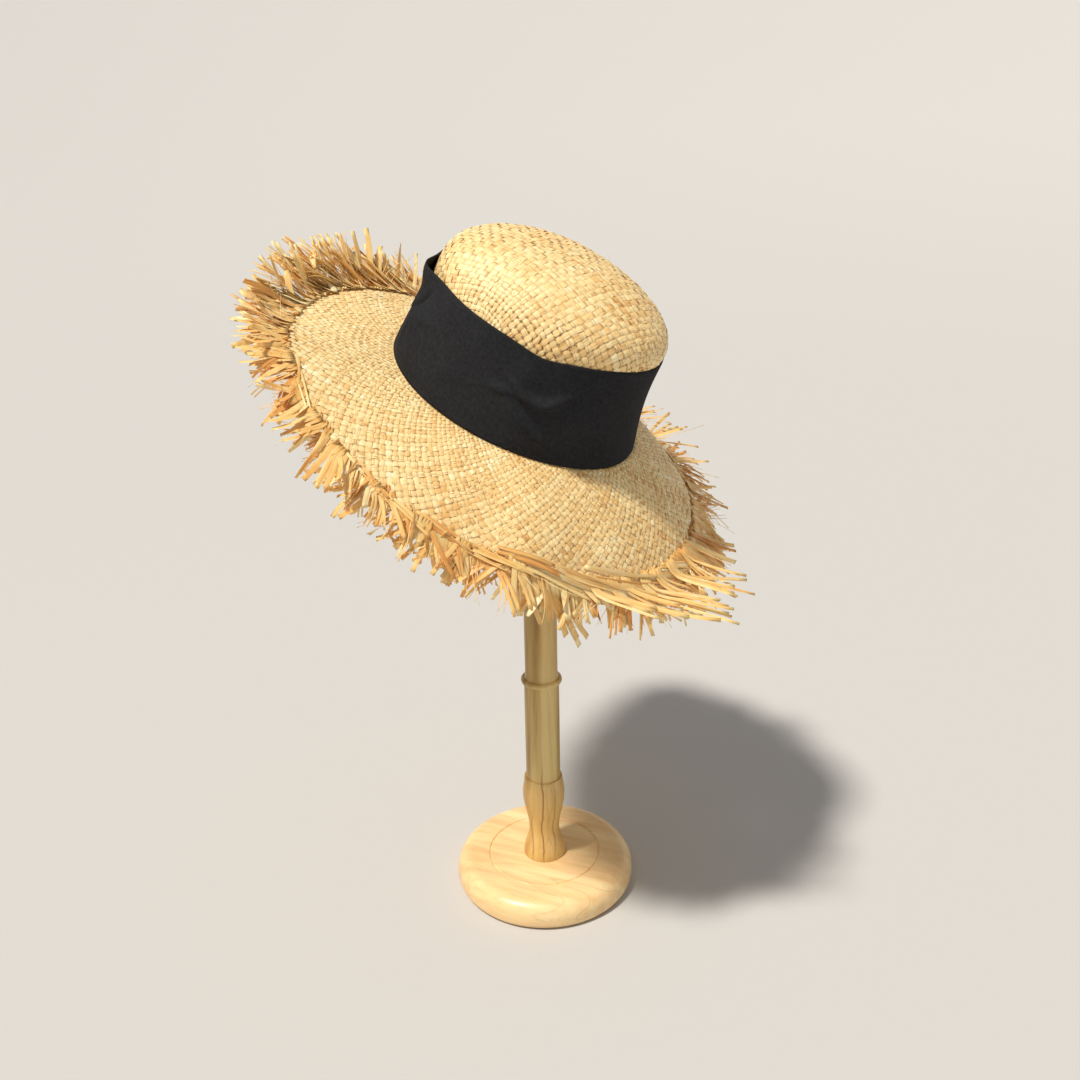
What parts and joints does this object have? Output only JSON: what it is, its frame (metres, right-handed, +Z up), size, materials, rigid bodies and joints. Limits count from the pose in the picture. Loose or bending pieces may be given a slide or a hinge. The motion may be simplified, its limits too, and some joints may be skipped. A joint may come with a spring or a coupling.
{
  "type": "raffia sun hat on wooden stand",
  "caption": "Wide-brimmed woven raffia sun hat with a frayed edge and a wide black cloth band, tilted on a turned wooden display stand.",
  "frame": {"origin": "middle of the stand foot's underside, on the surface that it stands on", "axes": "+Z up along the stand's pole; -Y is the side seen in the picture, towards which the hat nods; +X is the side to which it leans"},
  "size_m": [0.367, 0.3665, 0.5573],
  "materials": {
    "straw": "woven raffia strips, satin",
    "frayed_straw": "loose raffia ends, satin",
    "black_cloth": "matt plain-weave cotton",
    "pale_wood": "satin lacquer",
    "olive_wood": "satin lacquer"
  },
  "bodies": {
    "root": {"crown": "straw", "brim": "straw", "fringe": "frayed_straw", "hat_band": "black_cloth", "stand_foot": "pale_wood", "stand_pole": "olive_wood", "stand_knob": "pale_wood"}
  },
  "joints": []
}
